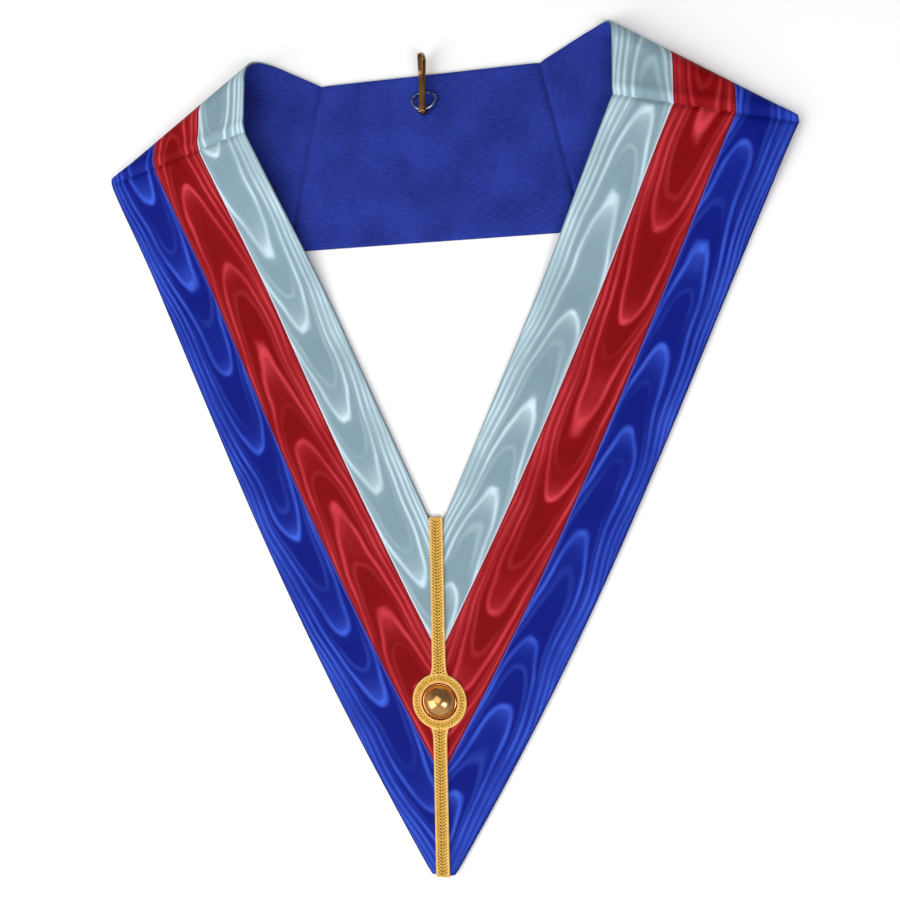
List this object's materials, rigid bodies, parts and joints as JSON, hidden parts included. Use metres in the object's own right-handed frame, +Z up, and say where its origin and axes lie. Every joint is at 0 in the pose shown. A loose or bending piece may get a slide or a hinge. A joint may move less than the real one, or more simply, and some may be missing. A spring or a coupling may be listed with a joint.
{
  "type": "masonic collar",
  "caption": "Fabric collar of three moire ribbons over a lining, laid flat in a V, with gold braid, a domed button and a hook at the nape.",
  "frame": {"origin": "middle of the collar's footprint, on the surface that it lies on", "axes": "+Y from the tip of the V to the nape, +X to the right seen from above, +Z up"},
  "size_m": [0.4242, 0.4948, 0.02],
  "materials": {
    "light_blue_moire": "watered silk with a satin sheen",
    "crimson_moire": "watered silk with a satin sheen",
    "dark_blue_moire": "watered silk with a satin sheen",
    "lining_cloth": "matt twill",
    "gold_braid": "woven metal thread",
    "gilt_metal": "polished gilt",
    "ring_wire": "bright wire"
  },
  "bodies": {
    "root": {"left_leg_light_blue": "light_blue_moire", "left_leg_crimson": "crimson_moire", "left_leg_dark_blue": "dark_blue_moire", "left_leg_lining": "lining_cloth", "right_leg_light_blue": "light_blue_moire", "right_leg_crimson": "crimson_moire", "right_leg_dark_blue": "dark_blue_moire", "right_leg_lining": "lining_cloth", "left_shoulder_light_blue": "light_blue_moire", "left_shoulder_crimson": "crimson_moire", "left_shoulder_dark_blue": "dark_blue_moire", "left_shoulder_lining": "lining_cloth", "right_shoulder_light_blue": "light_blue_moire", "right_shoulder_crimson": "crimson_moire", "right_shoulder_dark_blue": "dark_blue_moire", "right_shoulder_lining": "lining_cloth", "back_light_blue": "light_blue_moire", "back_crimson": "crimson_moire", "back_dark_blue": "dark_blue_moire", "back_lining": "lining_cloth", "seam_braid_upper": "gold_braid", "seam_braid_lower": "gold_braid", "braid_ring": "gold_braid", "dome_button": "gilt_metal", "neck_hook": "gilt_metal", "hook_ring": "ring_wire"}
  },
  "joints": []
}
